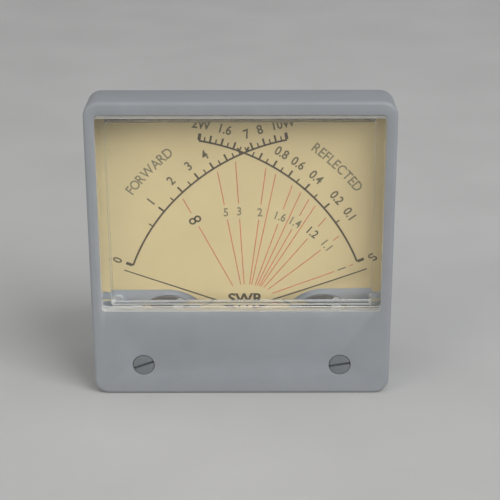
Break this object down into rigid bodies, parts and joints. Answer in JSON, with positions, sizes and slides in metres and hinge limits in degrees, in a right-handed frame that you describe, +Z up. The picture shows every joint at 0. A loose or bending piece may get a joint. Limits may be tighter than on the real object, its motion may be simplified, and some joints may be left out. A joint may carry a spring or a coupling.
{
  "type": "swr meter",
  "caption": "Panel meter with crossed forward and reflected power needles whose crossing reads SWR, in a grey bezel with a clear window and zero adjusters",
  "frame": {"origin": "centre of the seat on the panel, in the middle of the mounting studs", "axes": "+Z up, the dial faces -Y and the studs point along +Y, +X to the reader's right"},
  "size_m": [0.08, 0.0454, 0.082],
  "materials": {
    "bezel_grey": "fine satin moulding",
    "clear_acrylic": "clear and polished",
    "dial_paint": "cream paint with printed scales",
    "frame_alloy": "satin",
    "case_black": "moulded",
    "bright_steel": "plated",
    "brass": "machined",
    "spring_bronze": "bright strip",
    "tinned_lug": "dull tin plate",
    "wire_red": "insulation",
    "yoke_iron": "dark plated iron",
    "magnet_alloy": "ground",
    "coil_aluminium": "thin sheet",
    "copper_wire": "enamelled copper wire",
    "needle_black": "thin dark paint",
    "fibre": "pressed fibre"
  },
  "bodies": {
    "root": {"bezel": "bezel_grey", "window": "clear_acrylic", "dial_plate": "dial_paint", "movement_frame": "frame_alloy", "frame_screws": "bright_steel", "rear_case": "case_black", "case_screw": "bright_steel", "mounting_studs": "bright_steel", "terminal_studs": "brass", "terminal_washers": "bright_steel", "terminal_nuts": "bright_steel", "solder_lugs": "tinned_lug", "lead_wires": "wire_red", "forward_yoke": "yoke_iron", "forward_magnet": "magnet_alloy", "forward_magnet_clamp": "brass", "forward_front_bridge": "brass", "forward_rear_bridge": "brass", "forward_rear_hairspring": "spring_bronze", "reflected_yoke": "yoke_iron", "reflected_magnet": "magnet_alloy", "reflected_magnet_clamp": "brass", "reflected_front_bridge": "brass", "reflected_rear_bridge": "brass", "reflected_rear_hairspring": "spring_bronze", "jewel_screws": "brass", "jewel_nuts": "bright_steel", "bridge_screws": "bright_steel", "yoke_screws": "bright_steel", "insulating_pads": "fibre"},
    "forward_adjuster": {"forward_zero_adjuster": "bezel_grey", "forward_adjuster_clip": "bright_steel"},
    "forward_lever": {"forward_zero_lever": "brass", "forward_front_hairspring": "spring_bronze"},
    "forward_pointer": {"forward_needle": "needle_black", "forward_balance_weights": "copper_wire", "forward_pivots": "bright_steel", "forward_coil_former": "coil_aluminium", "forward_coil_winding": "copper_wire"},
    "reflected_adjuster": {"reflected_zero_adjuster": "bezel_grey", "reflected_adjuster_clip": "bright_steel"},
    "reflected_lever": {"reflected_zero_lever": "brass", "reflected_front_hairspring": "spring_bronze"},
    "reflected_pointer": {"reflected_needle": "needle_black", "reflected_balance_weights": "copper_wire", "reflected_pivots": "bright_steel", "reflected_coil_former": "coil_aluminium", "reflected_coil_winding": "copper_wire"}
  },
  "joints": [
    {"name": "forward_adjuster_turn", "type": "hinge", "parent": "root", "child": "forward_adjuster", "pos_m": [0.02653, -0.011, -0.0324], "axis": [0, -1, 0], "range_deg": [-40, 40]},
    {"name": "forward_lever_turn", "type": "hinge", "parent": "root", "child": "forward_lever", "pos_m": [0.02195, -0.00745, -0.0248], "axis": [0, -1, 0], "range_deg": [-4.5, 4.5]},
    {"name": "forward_deflection", "type": "hinge", "parent": "forward_lever", "child": "forward_pointer", "pos_m": [0.02195, -0.00575, -0.0248], "axis": [0, 1, 0], "range_deg": [-1, 63], "stiffness_Nm_per_rad": 0.0001},
    {"name": "reflected_adjuster_turn", "type": "hinge", "parent": "root", "child": "reflected_adjuster", "pos_m": [-0.02653, -0.011, -0.0324], "axis": [0, -1, 0], "range_deg": [-40, 40]},
    {"name": "reflected_lever_turn", "type": "hinge", "parent": "root", "child": "reflected_lever", "pos_m": [-0.02015, -0.00745, -0.0248], "axis": [0, -1, 0], "range_deg": [-4.5, 4.5]},
    {"name": "reflected_deflection", "type": "hinge", "parent": "reflected_lever", "child": "reflected_pointer", "pos_m": [-0.02015, -0.00575, -0.0248], "axis": [0, -1, 0], "range_deg": [-1, 63], "stiffness_Nm_per_rad": 0.0001}
  ],
  "couplings": [
    {"joint": "forward_lever_turn", "follows": "forward_adjuster_turn", "ratio": 0.0982},
    {"joint": "reflected_lever_turn", "follows": "reflected_adjuster_turn", "ratio": 0.0885}
  ]
}
